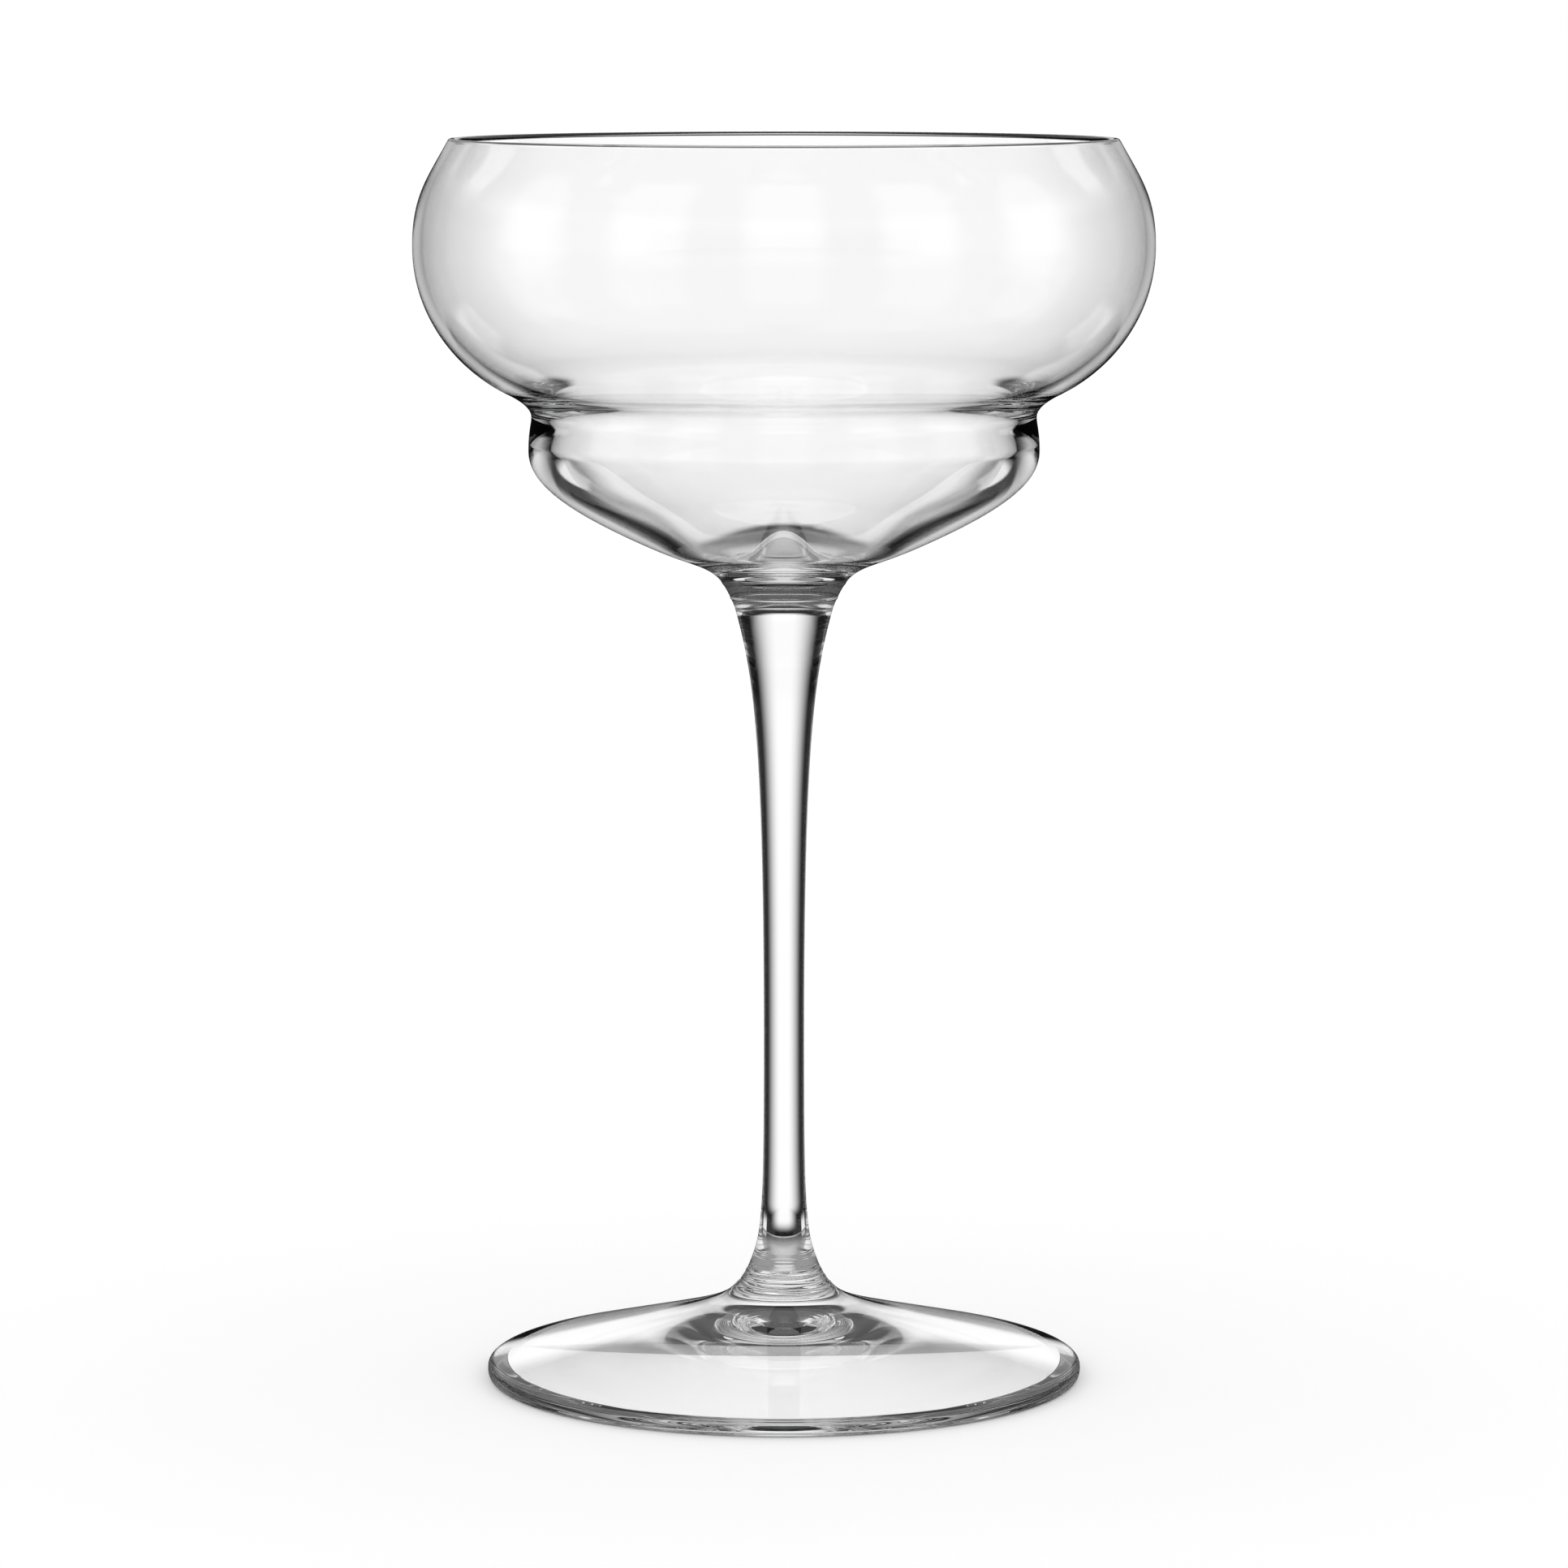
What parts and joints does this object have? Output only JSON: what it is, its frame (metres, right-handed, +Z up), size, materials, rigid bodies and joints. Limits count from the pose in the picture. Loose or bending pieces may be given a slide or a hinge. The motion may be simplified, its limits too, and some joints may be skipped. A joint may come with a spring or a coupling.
{
  "type": "nick and nora glass",
  "caption": "Clear stemmed cocktail glass: wide stepped bowl with an inward-leaning rim, slender drawn stem and low conical foot, for serving short drinks.",
  "frame": {"origin": "centre of the foot's flat resting ring, on the glass's axis", "axes": "+Z up the axis towards the rim; the glass is round, so X and Y are free"},
  "size_m": [0.0976, 0.0976, 0.165],
  "materials": {
    "clear_glass": "clear colourless fire-polished glass"
  },
  "bodies": {
    "root": {"bowl": "clear_glass", "upper_merese": "clear_glass", "stem": "clear_glass", "lower_merese": "clear_glass", "foot": "clear_glass"}
  },
  "joints": []
}
